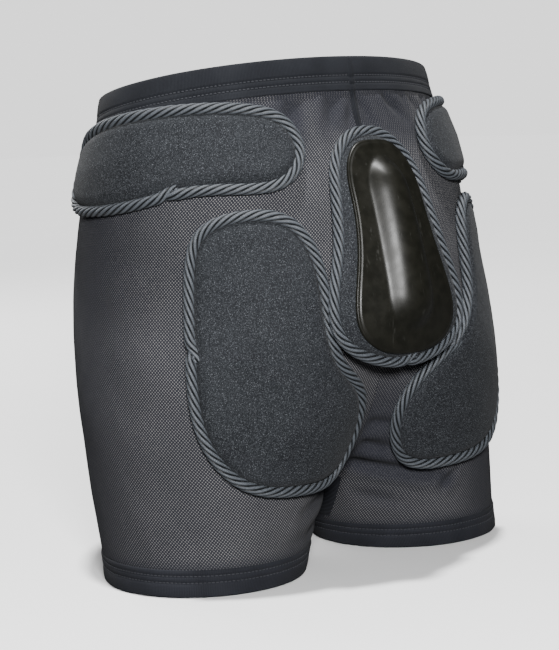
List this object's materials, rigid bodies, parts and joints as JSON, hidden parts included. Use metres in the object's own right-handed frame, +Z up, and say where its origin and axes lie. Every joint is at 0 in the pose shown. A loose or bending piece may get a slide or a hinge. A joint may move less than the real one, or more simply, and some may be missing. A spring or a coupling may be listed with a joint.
{
  "type": "padded impact shorts",
  "caption": "Stretch shorts with foam pads edged in twisted cord over the hips and seat, and a hard ridged shell over the tailbone.",
  "frame": {"origin": "centre of the bounding box's base, on the plane of the leg hems", "axes": "+Z up from the hems to the waist, +Y towards the wearer's back, +X towards the wearer's left"},
  "size_m": [0.364, 0.3033, 0.3969],
  "materials": {
    "mesh_knit": "perforated knit",
    "band_knit": "smooth knit",
    "hem_knit": "smooth knit",
    "elastic": "woven elastic",
    "thread": "sewing thread",
    "pad_knit": "brushed knit",
    "foam": "closed cell foam",
    "cord": "twisted cord",
    "shell": "glossy moulded"
  },
  "bodies": {
    "root": {"waistband_casing": "band_knit", "waistband_elastic": "elastic", "waistband_stitching": "thread", "left_panel": "mesh_knit", "right_panel": "mesh_knit", "crotch_gusset": "mesh_knit", "centre_back_seam": "band_knit", "left_hem": "hem_knit", "right_hem": "hem_knit", "left_hem_stitching": "thread", "right_hem_stitching": "thread", "left_hip_pad_cover": "pad_knit", "left_hip_pad_foam": "foam", "left_hip_pad_edging_cord": "cord", "right_hip_pad_cover": "pad_knit", "right_hip_pad_foam": "foam", "right_hip_pad_edging_cord": "cord", "left_seat_pad_cover": "pad_knit", "left_seat_pad_foam": "foam", "left_seat_pad_edging_cord": "cord", "right_seat_pad_cover": "pad_knit", "right_seat_pad_foam": "foam", "right_seat_pad_edging_cord": "cord", "tailbone_pad_cover": "pad_knit", "tailbone_pad_foam": "foam", "tailbone_pad_edging_cord": "cord", "tailbone_shell": "shell"}
  },
  "joints": []
}
